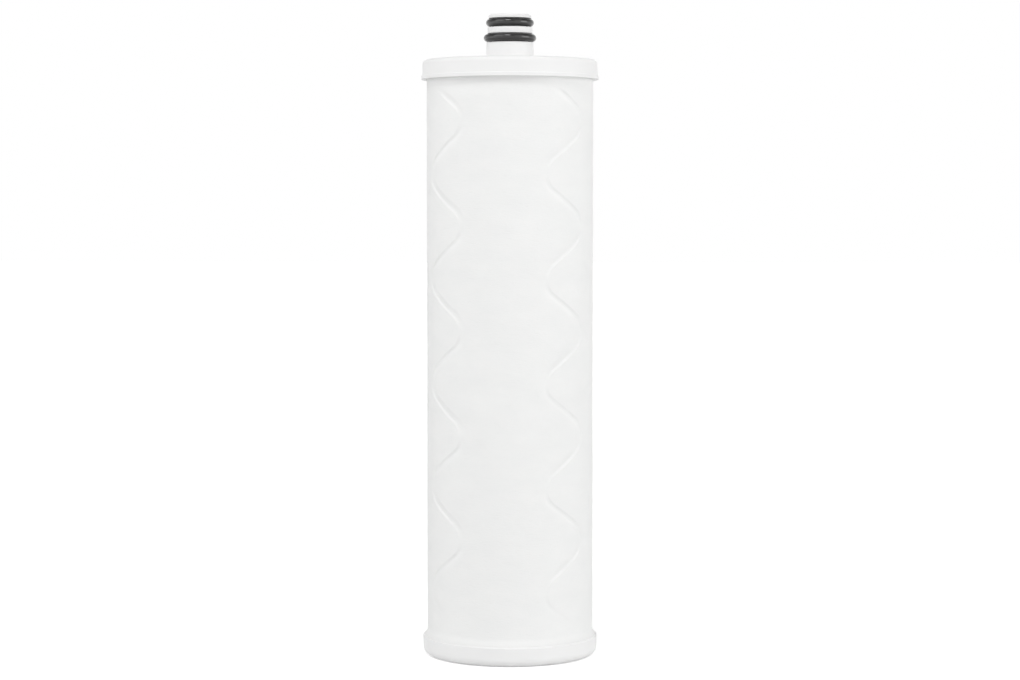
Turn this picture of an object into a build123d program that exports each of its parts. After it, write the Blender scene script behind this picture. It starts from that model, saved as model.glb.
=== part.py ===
"""Sediment filter cartridge with welded end caps and a plug-in outlet spigot, in millimetres.

A tube of melt-blown fibre stands on a windowed core between two moulded caps. The top cap carries
a stepped spigot with two O-rings. Z runs up the cartridge's axis from the middle of its base.
"""

import os
from math import asin, atan2, ceil, floor, hypot, radians, tan

from build123d import *

# Filter medium
medium_diameter = 63.5
medium_bore = 28.0
medium_length = 222.7

# Wave grooves that a hot roller presses into the medium's skin
wave_pitch = 39.3  # height of one full wave
wave_swing = 8.7  # reach to each side of a wave's middle line
wave_round = 7.5  # radius of a crest
wave_crest_height = 122.6  # height of one crest above the medium's lower end
front_panel_angle = 92.5  # turn between the two waves that frame the front panel
groove_width = 2.0
groove_depth = 0.3

# End caps
cap_height = 7.5
cap_floor = 2.4
skirt_wall = 1.55
skirt_gap = 0.15  # between the medium's skin and the skirt
skirt_draft = 1.0  # degrees, widest at the open rim
rim_chamfer = 0.3  # lead-in for the medium
rim_round = 0.5
lip_height = 1.5  # ridge round the top cap's open rim
lip_step = 0.35
lip_round = 0.25
top_edge_round = 1.8
bottom_edge_round = 3.0
gate_diameter = 6.0  # dimple of the moulding gate, under the bottom cap
gate_depth = 0.6

# Weld ridges on the caps' inner faces, and the rings that they melt into the medium's ends
ridge_width = 1.2
ridge_height = 0.8
weld_clearance = 0.1

# Beads of melted fibre that well up along the caps' rims
bead_width = 1.0
bead_height = 2.4
bead_root = 0.5  # how far a bead reaches into the medium

# Core and the collars that centre it on the caps
core_wall = 1.9
core_clearance = 0.1
collar_wall = 1.5
collar_height = 6.0
collar_clearance = 0.15
window_rows = 9
windows_per_row = 6
window_width = 8.0
window_rib = 7.0  # height of solid wall between two rows

# Outlet spigot
outlet_bore = 9.0
spigot_wall = 1.6  # behind the upper ring
ring_step = 0.9  # the lower ring sits this much further out than the upper one
gland_depth = 2.0
lower_land_height = 6.6
middle_land_height = 2.25
upper_land_height = 1.45
spigot_base_round = 0.6
spigot_lead_in = 0.6

# O-rings
ring_section = 3.0
ring_side_room = 0.25  # free width on each side of a ring in its gland
ring_seat_clearance = 0.05

# Levels up the axis
medium_base = cap_floor
medium_top = medium_base + medium_length
cap_top = medium_top + cap_floor
top_rim = cap_top - cap_height
gland_width = ring_section + 2 * ring_side_room
lower_gland_base = cap_top + lower_land_height
lower_gland_top = lower_gland_base + gland_width
upper_gland_base = lower_gland_top + middle_land_height
upper_gland_top = upper_gland_base + gland_width
spigot_top = upper_gland_top + upper_land_height

# Radii
medium_radius = medium_diameter / 2
bore_radius = medium_bore / 2
skirt_inner = medium_radius + skirt_gap
skirt_outer = skirt_inner + skirt_wall
skirt_closed_end = skirt_outer - cap_height * tan(radians(skirt_draft))
lip_outer = skirt_outer + lip_step
core_outer = bore_radius - core_clearance
core_inner = core_outer - core_wall
collar_outer = core_inner - collar_clearance
collar_inner = collar_outer - collar_wall
ridge_radii = [bore_radius + (medium_radius - bore_radius) * share for share in (2 / 3, 1 / 3)]
outlet_radius = outlet_bore / 2
upper_gland_floor = outlet_radius + spigot_wall
lower_gland_floor = upper_gland_floor + ring_step
upper_land = upper_gland_floor + gland_depth
lower_land = lower_gland_floor + gland_depth
middle_land = (upper_land + lower_land) / 2
ring_radius = ring_section / 2

# A wave's straight runs lean so far that the round crests just reach the swing
quarter_pitch = wave_pitch / 4
crest_shortfall = wave_round - wave_swing
run_lean = asin(wave_round / hypot(quarter_pitch, crest_shortfall)) - atan2(crest_shortfall, quarter_pitch)
corner_reach = quarter_pitch * tan(run_lean)
first_corner = floor(-wave_crest_height / wave_pitch * 2) - 1
last_corner = ceil((medium_length - wave_crest_height) / wave_pitch * 2) + 1
wave_corners = [
    (corner_reach * (-1) ** corner, medium_base + wave_crest_height + corner * wave_pitch / 2)
    for corner in range(first_corner, last_corner + 1)
]
wave_angles = [side + turn * front_panel_angle / 2 for side in (0, 180) for turn in (-1, 1)]


def turned_edge(builder, radius, height):
    """Circular edge of a turned part, found by its radius and height."""
    return builder.edges().filter_by(GeomType.CIRCLE).sort_by_distance((radius, 0, height))[0]


def ridge_rings(extra):
    """Sketch of the weld ridges, each side widened by an extra."""
    for radius in ridge_radii:
        Circle(radius + ridge_width / 2 + extra)
        Circle(radius - ridge_width / 2 - extra, mode=Mode.SUBTRACT)


# Tool for one wave groove: a ribbon of the wave, kept only where it lies in the medium's skin
with BuildPart() as wave_tool:
    with BuildSketch(Plane.XZ):
        with BuildLine():
            FilletPolyline(*wave_corners, radius=wave_round)
        trace(line_width=groove_width)
    extrude(amount=medium_radius + groove_depth)
    with BuildSketch(Plane.XY.offset(wave_corners[0][1] - groove_width)):
        Circle(medium_radius - groove_depth)
    extrude(amount=wave_corners[-1][1] - wave_corners[0][1] + 2 * groove_width, mode=Mode.SUBTRACT)

# Filter medium: fibre tube, wave grooves, the rings melted into both ends and the beads at the rims
with BuildPart() as filter_medium:
    with BuildSketch(Plane.XY.offset(medium_base)):
        Circle(medium_radius)
        Circle(bore_radius, mode=Mode.SUBTRACT)
    extrude(amount=medium_length)
    for angle in wave_angles:
        add(wave_tool.part, rotation=(0, 0, angle), mode=Mode.SUBTRACT)
    for end, inward in ((medium_base, 1), (medium_top, -1)):
        with BuildSketch(Plane.XY.offset(end)):
            ridge_rings(weld_clearance)
        extrude(amount=inward * (ridge_height + weld_clearance), mode=Mode.SUBTRACT)
    for rim, inward in ((cap_height, 1), (top_rim, -1)):
        bead_end = (medium_radius, rim + inward * bead_height)
        bead_edge = (medium_radius + bead_width, rim)
        with BuildSketch(Plane.XZ):
            with BuildLine():
                TangentArc(bead_end, bead_edge, tangent=(0, -inward))
                Polyline(bead_edge, (medium_radius - bead_root, rim), bead_end)
            make_face()
        revolve(axis=Axis.Z)
filter_medium.part.label = "filter_medium"

# Core tube: rows of flow windows, each row turned half a step from the one below
window_pitch = (medium_length - window_rib) / window_rows
with BuildPart() as core_tube:
    with BuildSketch(Plane.XY.offset(medium_base)):
        Circle(core_outer)
        Circle(core_inner, mode=Mode.SUBTRACT)
    extrude(amount=medium_length)
    for row in range(window_rows):
        row_middle = medium_base + window_rib / 2 + window_pitch * (row + 0.5)
        with Locations((0, 0, row_middle)):
            with PolarLocations(core_outer, windows_per_row, start_angle=row % 2 * 180 / windows_per_row):
                Box(3 * core_wall, window_width, window_pitch - window_rib, mode=Mode.SUBTRACT)
core_tube.part.label = "core_tube"

# Top cap: skirt, spigot and collar turned in one profile, with the weld ridges on its inner face
with BuildPart() as top_cap:
    with BuildSketch(Plane.XZ):
        with BuildLine():
            Polyline(
                (outlet_radius, medium_top),
                (outlet_radius, spigot_top),
                (upper_land, spigot_top),
                (upper_land, upper_gland_top),
                (upper_gland_floor, upper_gland_top),
                (upper_gland_floor, upper_gland_base),
                (middle_land, upper_gland_base),
                (middle_land, lower_gland_top),
                (lower_gland_floor, lower_gland_top),
                (lower_gland_floor, lower_gland_base),
                (lower_land, lower_gland_base),
                (lower_land, cap_top),
                (skirt_closed_end, cap_top),
                (skirt_outer, top_rim + lip_height),
                (lip_outer, top_rim + lip_height),
                (lip_outer, top_rim),
                (skirt_inner, top_rim),
                (skirt_inner, medium_top),
                (collar_outer, medium_top),
                (collar_outer, medium_top - collar_height),
                (collar_inner, medium_top - collar_height),
                (collar_inner, medium_top),
                close=True,
            )
        make_face()
    revolve(axis=Axis.Z)
    with BuildSketch(Plane.XY.offset(medium_top)):
        ridge_rings(0)
    extrude(amount=-ridge_height)
    fillet(turned_edge(top_cap, skirt_closed_end, cap_top), top_edge_round)
    fillet(turned_edge(top_cap, lower_land, cap_top), spigot_base_round)
    chamfer(turned_edge(top_cap, upper_land, spigot_top), spigot_lead_in)
    fillet(turned_edge(top_cap, lip_outer, top_rim + lip_height), lip_round)
    fillet(turned_edge(top_cap, lip_outer, top_rim), lip_round)
    chamfer(turned_edge(top_cap, skirt_inner, top_rim), rim_chamfer)
top_cap.part.label = "top_cap"

# Bottom cap: closed, with the same skirt, collar and weld ridges
with BuildPart() as bottom_cap:
    with BuildSketch(Plane.XZ):
        with BuildLine():
            Polyline(
                (0, 0),
                (skirt_closed_end, 0),
                (skirt_outer, cap_height),
                (skirt_inner, cap_height),
                (skirt_inner, medium_base),
                (collar_outer, medium_base),
                (collar_outer, medium_base + collar_height),
                (collar_inner, medium_base + collar_height),
                (collar_inner, medium_base),
                (0, medium_base),
                close=True,
            )
        make_face()
    revolve(axis=Axis.Z)
    with BuildSketch(Plane.XY.offset(medium_base)):
        ridge_rings(0)
    extrude(amount=ridge_height)
    with BuildSketch(Plane.XY):
        Circle(gate_diameter / 2)
    extrude(amount=gate_depth, mode=Mode.SUBTRACT)
    fillet(turned_edge(bottom_cap, skirt_closed_end, 0), bottom_edge_round)
    fillet(turned_edge(bottom_cap, skirt_outer, cap_height), rim_round)
    chamfer(turned_edge(bottom_cap, skirt_inner, cap_height), rim_chamfer)
bottom_cap.part.label = "bottom_cap"

# Upper O-ring, seated round the floor of its gland
with BuildPart() as upper_o_ring:
    with BuildSketch(Plane.XZ):
        with Locations((upper_gland_floor + ring_seat_clearance + ring_radius, upper_gland_base + gland_width / 2)):
            Circle(ring_radius)
    revolve(axis=Axis.Z)
upper_o_ring.part.label = "upper_o_ring"

# Lower O-ring, the larger one
with BuildPart() as lower_o_ring:
    with BuildSketch(Plane.XZ):
        with Locations((lower_gland_floor + ring_seat_clearance + ring_radius, lower_gland_base + gland_width / 2)):
            Circle(ring_radius)
    revolve(axis=Axis.Z)
lower_o_ring.part.label = "lower_o_ring"

os.makedirs("parts", exist_ok=True)
for piece in (filter_medium, core_tube, top_cap, bottom_cap, upper_o_ring, lower_o_ring):
    export_step(piece.part, f"parts/{piece.part.label}.step")
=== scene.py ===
"""Looks of the sediment filter cartridge, in metres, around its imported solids."""

from math import asin, atan2, ceil, cos, hypot, pi, radians, sin, sqrt, tan

import bpy
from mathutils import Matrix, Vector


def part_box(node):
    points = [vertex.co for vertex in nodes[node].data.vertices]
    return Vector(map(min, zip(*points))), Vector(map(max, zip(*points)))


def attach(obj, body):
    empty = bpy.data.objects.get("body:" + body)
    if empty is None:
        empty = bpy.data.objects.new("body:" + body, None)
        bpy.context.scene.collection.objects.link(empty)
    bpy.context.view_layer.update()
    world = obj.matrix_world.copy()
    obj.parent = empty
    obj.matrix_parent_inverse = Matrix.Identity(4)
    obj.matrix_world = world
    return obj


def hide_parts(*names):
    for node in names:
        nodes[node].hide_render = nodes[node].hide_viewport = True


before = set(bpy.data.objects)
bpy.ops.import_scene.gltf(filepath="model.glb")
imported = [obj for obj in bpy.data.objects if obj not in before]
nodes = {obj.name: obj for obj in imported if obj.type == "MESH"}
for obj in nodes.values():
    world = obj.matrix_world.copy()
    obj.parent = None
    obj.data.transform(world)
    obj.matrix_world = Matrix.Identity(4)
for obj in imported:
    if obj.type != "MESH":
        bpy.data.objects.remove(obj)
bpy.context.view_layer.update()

MM = 0.001

# Beads of melted fibre along the caps' rims
bead_width = 1.0 * MM
bead_height = 2.4 * MM
bead_curve = 1.3  # 1 is a straight flank, 2 a hollow one
upper_bead_share = 0.25  # the upper bead is mostly squeezed back under the lip

# Filter medium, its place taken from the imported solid, which is widest at the beads
skirt_reach = 5.1 * MM  # of the caps along the medium, from each end
medium_low, medium_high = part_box("filter_medium")
medium_base = medium_low.z
medium_top = medium_high.z
medium_length = medium_top - medium_base
medium_radius = medium_high.x - bead_width
medium_bore_radius = 14.0 * MM
skin_limit = medium_radius * 0.99  # points further from the axis are on the skin
bore_limit = medium_bore_radius * 1.001  # points nearer to the axis are on the bore
lower_rim = medium_base + skirt_reach
upper_rim = medium_top - skirt_reach

# Wave grooves pressed into the medium's skin
wave_pitch = 39.3 * MM
wave_swing = 8.7 * MM
wave_round = 7.5 * MM
wave_crest = medium_base + 122.6 * MM
panel_middles = (0, 180)  # degrees, front and back
panel_angle = 92.5  # degrees between the two waves that frame a panel
waves = [  # angle of each wave, and the side of it that faces away from its panel
    (radians(middle + side * panel_angle / 2), side)
    for middle in panel_middles
    for side in (-1, 1)
]
groove_depth = 0.3 * MM
groove_wall = 1.1 * MM  # width of the crisp outer wall
groove_slope = 2.5 * MM  # width of the soft slope on the panel's side
groove_shift = 0.1 * MM  # deepest line, from the wave's line towards the panel
groove_end_depth = 0.2  # share of the depth that is left at a crest
groove_end_length = 5.5 * MM  # height over which the groove comes up to a crest
groove_low_fade = (12 * MM, 34 * MM)  # heights between which the waves come in above the bottom cap
groove_high_fade = (213 * MM, 217 * MM)  # heights between which they go out below the top cap

# Slight lumps of the blown fibre
lump_size = 9 * MM
lump_detail = 3
lump_height = 0.22 * MM
lump_press = 0.6  # share of the lumps that a full press takes away
smooth_angle = radians(35)  # edges sharper than this stay crisp

# Rings that the caps' weld ridges melt into the medium's ends
weld_shares = (2 / 3, 1 / 3)  # of the way from the bore to the skin
weld_radii = [medium_bore_radius + share * (medium_radius - medium_bore_radius) for share in weld_shares]
weld_half_width = 0.7 * MM
weld_depth = 0.9 * MM

# Mesh of the medium's skin: close columns over each groove, wide ones between
groove_outer_reach = 2.2 * MM
groove_inner_reach = 4.4 * MM
groove_columns = 24
panel_columns = 27
skin_row_height = 0.65 * MM

# Colours
fibre_dark = (0.83, 0.84, 0.84, 1)
fibre_light = (0.93, 0.93, 0.92, 1)
fibre_melted = (0.835, 0.835, 0.83, 1)
cap_dark = (0.858, 0.858, 0.858, 1)
cap_light = (0.898, 0.898, 0.893, 1)
core_dark = (0.84, 0.84, 0.83, 1)
core_light = (0.88, 0.88, 0.87, 1)
rubber_dark = (0.005, 0.005, 0.005, 1)
rubber_light = (0.016, 0.015, 0.015, 1)
floor_colour = (0.8, 0.8, 0.8, 1)
world_colour = (1, 1, 1, 1)

# Floor, whose glow is seen but lights nothing, and the world
floor_size = 12
glow_near = 0.5
glow_far = 0.9
glow_reach = (0.3, 2.0)  # distances from the axis between which the glow grows
ceiling_share = 0.24  # of the world's brightness at the horizon
ceiling_rise = (0.1, 0.7)  # sines of the height above the horizon between which the world dims

# Lamps: name, place, size and power
lamp_target = (0, 0, 0.13)
lamps = [
    ("right_box", (1.53, -0.35, 0.4), 1.0, 7.0),
    ("left_box", (-1.5, -0.5, 0.4), 1.0, 1.3),
    ("high_left_box", (-0.9, -0.7, 1.2), 1.2, 6.3),
    ("high_right_box", (0.9, -0.7, 1.2), 1.2, 2.7),
    ("key_box", (-0.1, -0.85, 1.3), 0.4, 4.4),
    ("back_box", (0.2, 1.4, 0.8), 1.2, 1.6),
]

# Camera, close to the photograph's, but turned down where that one is level and shifted
camera_turn = radians(5.2)
camera_distance = 960.5 * MM
camera_height = 174.2 * MM
camera_pitch = radians(3.188)
camera_lens = 88.54  # millimetres, on Blender's 36 mm sensor

# Shape of one wave: straight runs that lean so far that the round crests just reach the swing
quarter_pitch = wave_pitch / 4
arc_middle = wave_swing - wave_round
run_lean = asin(wave_round / hypot(quarter_pitch, arc_middle)) + atan2(arc_middle, quarter_pitch)
corner_reach = quarter_pitch * tan(run_lean)


def nearest_crest(height):
    """Height above or below the nearest crest of a wave, and the side that this crest points to."""
    crest = round((height - wave_crest) / (2 * quarter_pitch))
    return abs(height - wave_crest - crest * 2 * quarter_pitch), (-1) ** crest


def wave_offset(height):
    """How far a wave lies to the side of its middle line at a height."""
    rise, side = nearest_crest(height)
    if rise < wave_round * sin(run_lean):
        return side * (arc_middle + sqrt(wave_round**2 - rise**2))
    return side * (corner_reach - rise * tan(run_lean))


def wave_distance(offset, height):
    """Distance of a point from a wave's line, positive on the side that the offset counts to."""
    rise, side = nearest_crest(height)
    reach = offset * side
    if atan2(rise, reach - arc_middle) < run_lean:
        return side * (hypot(rise, reach - arc_middle) - wave_round)
    return side * (rise * sin(run_lean) + (reach - corner_reach) * cos(run_lean))


def smooth_step(low, high, value):
    """0 below low, 1 above high and a soft rise between."""
    share = min(max((value - low) / (high - low), 0), 1)
    return share * share * (3 - 2 * share)


def bead_swell(height):
    """How far the bead at the nearer rim stands out from the skin at a height."""
    size = 1 if height < (lower_rim + upper_rim) / 2 else upper_bead_share
    left = max(size * bead_height - min(height - lower_rim, upper_rim - height), 0)
    return size * bead_width * (left / (size * bead_height)) ** bead_curve


def melt_share(height):
    """How far the fibre between the rims is melted at a height, from 0 to 1."""
    return bead_swell(height) / bead_width if lower_rim < height < upper_rim else 0


class Value:
    """Output of a shader node that Python's operators can work with."""

    def __init__(self, finish, socket):
        self.finish = finish
        self.socket = socket

    def __add__(self, other):
        return self.finish.maths("ADD", self, other)

    def __radd__(self, other):
        return self.finish.maths("ADD", other, self)

    def __sub__(self, other):
        return self.finish.maths("SUBTRACT", self, other)

    def __rsub__(self, other):
        return self.finish.maths("SUBTRACT", other, self)

    def __mul__(self, other):
        return self.finish.maths("MULTIPLY", self, other)

    def __rmul__(self, other):
        return self.finish.maths("MULTIPLY", other, self)

    def __abs__(self):
        return self.finish.maths("ABSOLUTE", self)


class Finish:
    """Node tree of one finish, and the methods that add nodes to it."""

    def __init__(self, tree):
        self.tree = tree
        self.tree.nodes.clear()

    def node(self, kind, settings=None, inputs=None, output=0):
        """Adds a node, makes its settings, fills its sockets and gives one of its outputs."""
        made = self.tree.nodes.new(kind)
        for name, value in (settings or {}).items():
            setattr(made, name, value)
        for name, value in (inputs or {}).items():
            socket = self.socket(made.inputs, name)
            if isinstance(value, Value):
                self.tree.links.new(value.socket, socket)
            else:
                socket.default_value = value
        return Value(self, self.socket(made.outputs, output))

    def socket(self, sockets, name):
        """Socket with that number, identifier or name."""
        if isinstance(name, int):
            return sockets[name]
        for socket in sockets:
            if socket.identifier == name:
                return socket
        return sockets[name]

    def maths(self, operation, *values):
        return self.node("ShaderNodeMath", {"operation": operation}, dict(enumerate(values)))

    def place(self):
        """Object coordinates."""
        return self.node("ShaderNodeTexCoord", output="Object")

    def flattened(self, place, share):
        """Coordinates in which a pattern comes out wider than high by a share."""
        return self.node("ShaderNodeMapping", {}, {"Vector": place, "Scale": (1, 1, share)})

    def noise(self, place, scale, detail=2.0, roughness=0.5):
        """Noise of about a given number of lumps to the metre."""
        inputs = {"Vector": place, "Scale": scale, "Detail": detail, "Roughness": roughness}
        return self.node("ShaderNodeTexNoise", {}, inputs, "Fac")

    def mark(self, name):
        """Number that the mesh holds for each of its points."""
        return self.node("ShaderNodeAttribute", {"attribute_name": name}, {}, "Fac")

    def ramp(self, value, reach, first, last):
        """Soft change from a first to a last number while a value runs through its reach."""
        start, end = reach
        inputs = {"Value": value, "From Min": start, "From Max": end, "To Min": first, "To Max": last}
        return self.node("ShaderNodeMapRange", {"interpolation_type": "SMOOTHSTEP"}, inputs)

    def blend(self, share, first, second):
        """Colour between two colours."""
        inputs = {"Factor_Float": share, "A_Color": first, "B_Color": second}
        return self.node("ShaderNodeMix", {"data_type": "RGBA"}, inputs, "Result_Color")

    def bump(self, height, strength, distance):
        inputs = {"Height": height, "Strength": strength, "Distance": distance}
        return self.node("ShaderNodeBump", {}, inputs)

    def surface(self, kind, shader):
        """Output node of a material or a world, fed by a shader."""
        made = self.tree.nodes.new(kind)
        self.tree.links.new(shader.socket, made.inputs["Surface"])


def new_finish(name):
    """Empty material and its finish."""
    material = bpy.data.materials.new(name)
    material.use_nodes = True
    return material, Finish(material.node_tree)


def fibre_finish():
    """Melt-blown fibre: fine threads laid round the tube and soft clouds, smooth where it is pressed."""
    material, finish = new_finish("melt_blown_fibre")
    place = finish.place()
    pressed = finish.mark("pressed")
    clouds = finish.noise(finish.flattened(place, 2.2), scale=70, detail=4, roughness=0.55)
    grain = finish.noise(finish.flattened(place, 1.6), scale=1400, detail=3, roughness=0.6)
    thread_noise = finish.noise(finish.flattened(place, 5), scale=260, detail=3, roughness=0.6)
    fine_noise = finish.noise(finish.flattened(place, 4), scale=700, detail=2, roughness=0.6)
    threads = 1 - abs(thread_noise * 2 - 1)
    fine_threads = 1 - abs(fine_noise * 2 - 1)
    fibre = threads * 0.5 + fine_threads * 0.3 + grain * 0.2
    loose = finish.blend(clouds * 0.55 + fibre * 0.45, fibre_dark, fibre_light)
    relief = fibre * (1 - 0.7 * pressed) + clouds * 0.5
    inputs = {
        "Base Color": finish.blend(finish.mark("melted"), loose, fibre_melted),
        "Roughness": 0.95 - 0.2 * pressed,
        "Specular IOR Level": 0.3,
        "Normal": finish.bump(relief, strength=0.35, distance=0.25 * MM),
    }
    finish.surface("ShaderNodeOutputMaterial", finish.node("ShaderNodeBsdfPrincipled", {}, inputs))
    return material


def plastic_finish(name, dark, light, roughness):
    """Moulded polypropylene: satin, with faint flow clouds and a fine grain from the mould."""
    material, finish = new_finish(name)
    place = finish.place()
    clouds = finish.noise(place, scale=45, detail=3)
    grain = finish.noise(place, scale=2600)
    inputs = {
        "Base Color": finish.blend(clouds, dark, light),
        "Roughness": roughness + (grain - 0.5) * 0.12 + (clouds - 0.5) * 0.08,
        "Specular IOR Level": 0.2,
        "Normal": finish.bump(grain * 0.4 + clouds, strength=0.12, distance=0.1 * MM),
    }
    finish.surface("ShaderNodeOutputMaterial", finish.node("ShaderNodeBsdfPrincipled", {}, inputs))
    return material


def rubber_finish():
    """Black ring rubber with an uneven film of grease."""
    material, finish = new_finish("ring_rubber")
    place = finish.place()
    film = finish.noise(place, scale=260, detail=4, roughness=0.6)
    grain = finish.noise(place, scale=3000)
    inputs = {
        "Base Color": finish.blend(film, rubber_dark, rubber_light),
        "Roughness": 0.06 + film * 0.12,
        "Specular IOR Level": 0.75,
        "Normal": finish.bump(grain * 0.5 + film * 0.5, strength=0.08, distance=0.08 * MM),
    }
    finish.surface("ShaderNodeOutputMaterial", finish.node("ShaderNodeBsdfPrincipled", {}, inputs))
    return material


def column_angles():
    """Angles of the skin's columns round the tube, as they are where the waves cross their middles."""
    edges = []
    for angle, outer_side in waves:
        before, after = groove_outer_reach, groove_inner_reach
        if outer_side > 0:
            before, after = after, before
        edges.append((angle - before / medium_radius, angle + after / medium_radius))
    angles = []
    for wave, (start, end) in enumerate(edges):
        following = edges[wave + 1][0] if wave + 1 < len(edges) else edges[0][0] + 2 * pi
        angles += [start + (end - start) * column / groove_columns for column in range(groove_columns)]
        angles += [end + (following - end) * column / panel_columns for column in range(panel_columns)]
    return angles


def skin_rows():
    """Height and radius of each row of the skin, from the lower end to the upper one."""
    rows = []
    for low, high in ((medium_base, lower_rim), (lower_rim, upper_rim), (upper_rim, medium_top)):
        steps = ceil((high - low) / skin_row_height)
        for step in range(steps + 1):
            height = low + (high - low) * step / steps
            rows.append((height, medium_radius + (bead_swell(height) if low == lower_rim else 0)))
    return rows


def apply_modifier(piece, kind, settings):
    """Adds a modifier, makes its settings and applies it."""
    modifier = piece.modifiers.new(kind.lower(), kind)
    for name, value in settings.items():
        setattr(modifier, name, value)
    bpy.ops.object.modifier_apply(modifier=modifier.name)


def select_vertices(piece, wanted):
    """In edit mode, selects only the vertices that a test picks by their place."""
    bpy.ops.mesh.select_all(action="DESELECT")
    bpy.ops.object.mode_set(mode="OBJECT")
    for vertex in piece.data.vertices:
        vertex.select = wanted(vertex.co)
    bpy.ops.object.mode_set(mode="EDIT")


def add_filter_medium():
    """Fibre tube whose skin follows the waves, with the grooves pressed in."""
    angles = column_angles()
    rows = skin_rows()
    base = (0, 0, medium_base)
    bpy.ops.object.select_all(action="DESELECT")
    bpy.ops.mesh.primitive_circle_add(vertices=len(angles), radius=medium_radius, location=base)
    bpy.ops.object.transform_apply(location=True, rotation=True, scale=True)
    piece = bpy.context.object
    piece.name = "fibre_tube"
    for vertex, angle in zip(piece.data.vertices, angles):
        vertex.co.x = medium_radius * sin(angle)
        vertex.co.y = -medium_radius * cos(angle)
    steps = len(rows) - 1
    screw = {
        "angle": 0,
        "screw_offset": medium_length,
        "steps": steps,
        "render_steps": steps,
        "use_merge_vertices": False,
    }
    apply_modifier(piece, "SCREW", screw)
    for vertex in piece.data.vertices:
        height, radius = rows[round((vertex.co.z - medium_base) / medium_length * steps)]
        vertex.co.x *= radius / medium_radius
        vertex.co.y *= radius / medium_radius
        vertex.co.z = height
    close_ends(piece)
    turn_rows(piece)
    press_grooves(piece)
    return piece


def close_ends(piece):
    """Ends with the melted weld rings, and the bore between them."""
    bpy.context.view_layer.objects.active = piece
    bpy.ops.object.mode_set(mode="EDIT")
    bpy.ops.mesh.select_mode(type="VERT")
    for end, inward in ((medium_base, 1), (medium_top, -1)):
        select_vertices(piece, lambda place: abs(place.z - end) < skin_row_height / 2)
        radius = medium_radius
        steps = []
        for middle in weld_radii:
            steps += [(middle + weld_half_width, 0), (middle + weld_half_width, weld_depth)]
            steps += [(middle - weld_half_width, weld_depth), (middle - weld_half_width, 0)]
        steps.append((medium_bore_radius, 0))
        depth = 0
        for next_radius, next_depth in steps:
            bpy.ops.mesh.extrude_edges_move()
            scale = next_radius / radius
            bpy.ops.transform.resize(value=(scale, scale, 1), center_override=(0, 0, end))
            bpy.ops.transform.translate(value=(0, 0, inward * (next_depth - depth)))
            radius, depth = next_radius, next_depth
    select_vertices(piece, lambda place: hypot(place.x, place.y) < bore_limit)
    bpy.ops.mesh.bridge_edge_loops()
    bpy.ops.mesh.select_all(action="SELECT")
    bpy.ops.mesh.normals_make_consistent(inside=False)
    bpy.ops.object.mode_set(mode="OBJECT")


def turn_rows(piece):
    """Turns each row of the skin about the axis so that the close columns follow the waves."""
    for vertex in piece.data.vertices:
        radius = hypot(vertex.co.x, vertex.co.y)
        if radius > skin_limit:
            angle = atan2(vertex.co.x, -vertex.co.y) + asin(wave_offset(vertex.co.z) / medium_radius)
            vertex.co.x = radius * sin(angle)
            vertex.co.y = -radius * cos(angle)


def groove_share(place):
    """How far the skin is pressed in at a point, from 0 to 1."""
    angle = atan2(place.x, -place.y)
    share = 0
    for wave, outer_side in waves:
        if cos(angle - wave) > 0:
            offset = medium_radius * sin(angle - wave)
            outward = outer_side * wave_distance(offset, place.z) + groove_shift
            wall = 1 - smooth_step(0, groove_wall, outward)
            slope = smooth_step(-groove_slope, 0, outward)
            share = max(share, wall * slope)
    ends = smooth_step(0, groove_end_length, nearest_crest(place.z)[0])
    share *= groove_end_depth + (1 - groove_end_depth) * ends
    return share * smooth_step(*groove_low_fade, place.z) * (1 - smooth_step(*groove_high_fade, place.z))


def press_grooves(piece):
    """Presses the grooves in, lumps the skin a little, and marks what is pressed or melted."""
    shares = [groove_share(vertex.co) for vertex in piece.data.vertices]
    melts = [melt_share(vertex.co.z) for vertex in piece.data.vertices]
    groove = piece.vertex_groups.new(name="groove")
    skin = piece.vertex_groups.new(name="skin")
    for vertex, share in zip(piece.data.vertices, shares):
        if hypot(vertex.co.x, vertex.co.y) > skin_limit:
            groove.add([vertex.index], share, "REPLACE")
            free = smooth_step(0, bead_height, min(vertex.co.z - lower_rim, upper_rim - vertex.co.z))
            skin.add([vertex.index], free * (1 - lump_press * share), "REPLACE")
    piece.data.attributes.new("pressed", "FLOAT", "POINT").data.foreach_set("value", shares)
    piece.data.attributes.new("melted", "FLOAT", "POINT").data.foreach_set("value", melts)
    press = {"strength": -groove_depth, "mid_level": 0, "vertex_group": "groove", "direction": "NORMAL"}
    apply_modifier(piece, "DISPLACE", press)
    lumps = bpy.data.textures.new("fibre_lumps", "CLOUDS")
    lumps.noise_scale = lump_size
    lumps.noise_depth = lump_detail
    swell = {"texture": lumps, "strength": lump_height, "mid_level": 0.5, "vertex_group": "skin"}
    apply_modifier(piece, "DISPLACE", swell)
    bpy.ops.object.shade_smooth_by_angle(angle=smooth_angle)


def add_floor():
    """Pale floor that shows white to the camera and keeps the object's shadow."""
    bpy.ops.object.select_all(action="DESELECT")
    bpy.ops.mesh.primitive_plane_add(size=floor_size)
    floor = bpy.context.object
    floor.name = "floor"
    material, finish = new_finish("pale_floor")
    distance = finish.node("ShaderNodeVectorMath", {"operation": "LENGTH"}, {0: finish.place()}, "Value")
    level = finish.ramp(distance, glow_reach, glow_near, glow_far)
    glow = finish.node("ShaderNodeEmission", {}, {"Strength": seen_ray(finish) * level})
    paint = finish.node("ShaderNodeBsdfDiffuse", {}, {"Color": floor_colour})
    both = finish.node("ShaderNodeAddShader", {}, {0: glow, 1: paint})
    finish.surface("ShaderNodeOutputMaterial", both)
    floor.data.materials.append(material)


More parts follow.
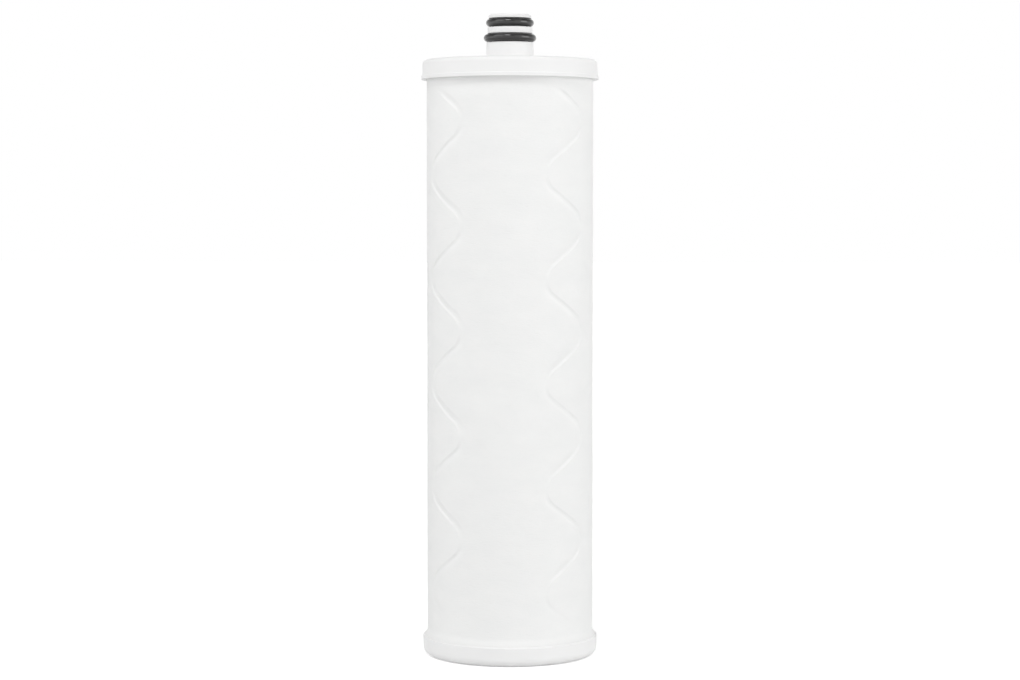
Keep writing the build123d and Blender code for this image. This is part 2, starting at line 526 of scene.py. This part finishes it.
def seen_ray(finish):
    """1 for a ray that the camera, a reflection or a clear piece sees."""
    kinds = ("Camera", "Glossy", "Transmission")
    camera, glossy, clear = [finish.node("ShaderNodeLightPath", output=f"Is {kind} Ray") for kind in kinds]
    return finish.maths("MAXIMUM", finish.maths("MAXIMUM", camera, glossy), clear)


def add_world():
    """White studio all round, dimmer overhead."""
    world = bpy.data.worlds.new("studio")
    world.use_nodes = True
    finish = Finish(world.node_tree)
    direction = finish.node("ShaderNodeTexCoord", output="Generated")
    rise = finish.node("ShaderNodeSeparateXYZ", {}, {"Vector": direction}, "Z")
    shade = finish.ramp(rise, ceiling_rise, 1, ceiling_share)
    sky = finish.node("ShaderNodeBackground", {}, {"Color": world_colour, "Strength": shade})
    finish.surface("ShaderNodeOutputWorld", sky)
    bpy.context.scene.world = world


def add_lamp(name, place, size, power):
    """Square soft box that faces the cartridge."""
    data = bpy.data.lights.new(name, "AREA")
    data.shape = "SQUARE"
    data.size = size
    data.energy = power
    lamp = bpy.data.objects.new(name, data)
    lamp.location = place
    east, north, up = [to - at for to, at in zip(lamp_target, place)]
    lamp.rotation_euler = (atan2(hypot(east, north), -up), 0, atan2(north, east) - pi / 2)
    bpy.context.scene.collection.objects.link(lamp)


def add_camera():
    """Camera at the photograph's viewing angle."""
    data = bpy.data.cameras.new("camera")
    data.lens = camera_lens
    camera = bpy.data.objects.new("camera", data)
    east = camera_distance * sin(camera_turn)
    north = -camera_distance * cos(camera_turn)
    camera.location = (east, north, camera_height)
    camera.rotation_euler = (pi / 2 - camera_pitch, 0, camera_turn)
    bpy.context.scene.collection.objects.link(camera)
    bpy.context.scene.camera = camera


fibre_tube = add_filter_medium()
fibre_tube.data.materials.append(fibre_finish())
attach(fibre_tube, "root")
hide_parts("filter_medium")

cap_plastic = plastic_finish("cap_plastic", cap_dark, cap_light, roughness=0.52)
core_plastic = plastic_finish("core_plastic", core_dark, core_light, roughness=0.5)
ring_rubber = rubber_finish()
for node, material in (
    ("top_cap", cap_plastic),
    ("bottom_cap", cap_plastic),
    ("core_tube", core_plastic),
    ("upper_o_ring", ring_rubber),
    ("lower_o_ring", ring_rubber),
):
    nodes[node].material_slots[0].material = material

add_floor()
add_world()
for lamp in lamps:
    add_lamp(*lamp)
add_camera()

bpy.context.scene.view_settings.view_transform = "Standard"
